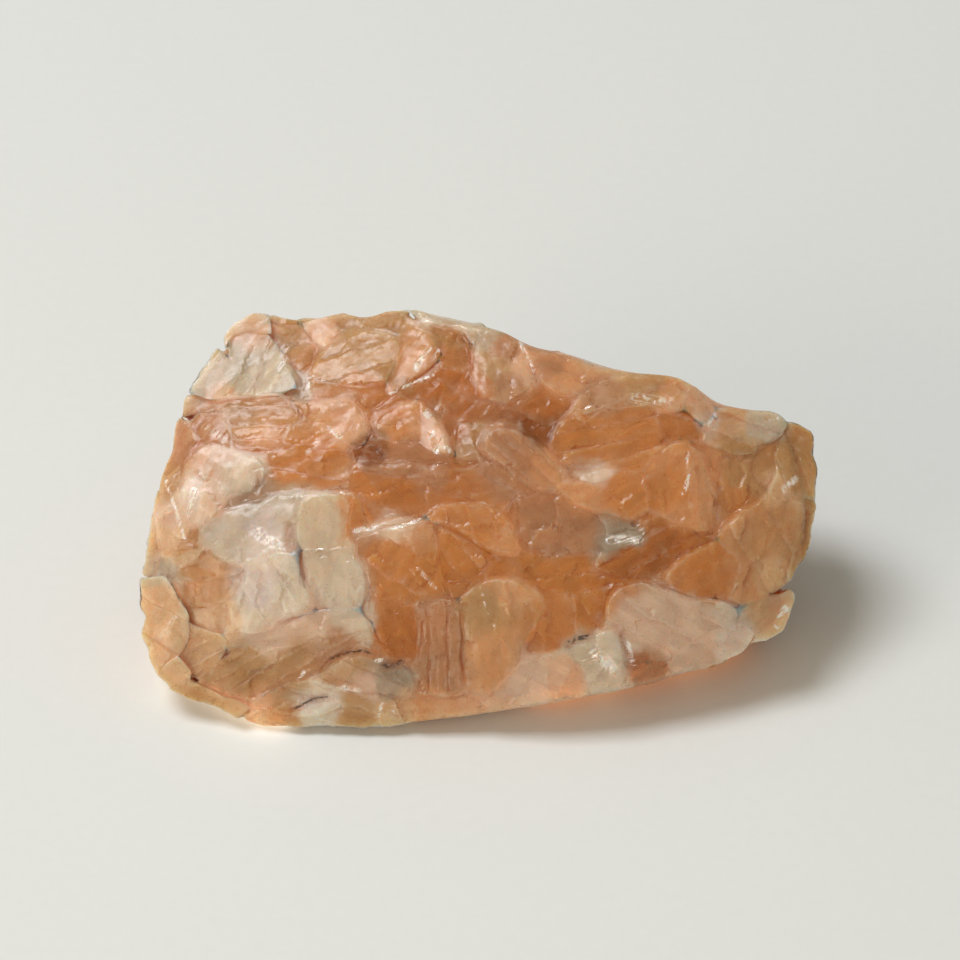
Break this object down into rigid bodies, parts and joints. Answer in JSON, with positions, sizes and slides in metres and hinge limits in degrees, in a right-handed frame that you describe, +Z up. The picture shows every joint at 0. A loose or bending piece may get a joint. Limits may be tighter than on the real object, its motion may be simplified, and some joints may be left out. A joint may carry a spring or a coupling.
{
  "type": "mineral hand specimen",
  "caption": "Rough broken mass of translucent peach crystals with flat cleaved faces, ledges and pits, resting on a flat broken base; for display or study.",
  "frame": {"origin": "middle of the specimen's footprint, on the surface it rests on", "axes": "+Z up, +X along the longest extent towards the low right end, -Y towards the show face"},
  "size_m": [0.0948, 0.0622, 0.0428],
  "materials": {
    "crystal": "broken crystal, vitreous to pearly, translucent"
  },
  "bodies": {
    "root": {"crystal_mass": "crystal"}
  },
  "joints": []
}
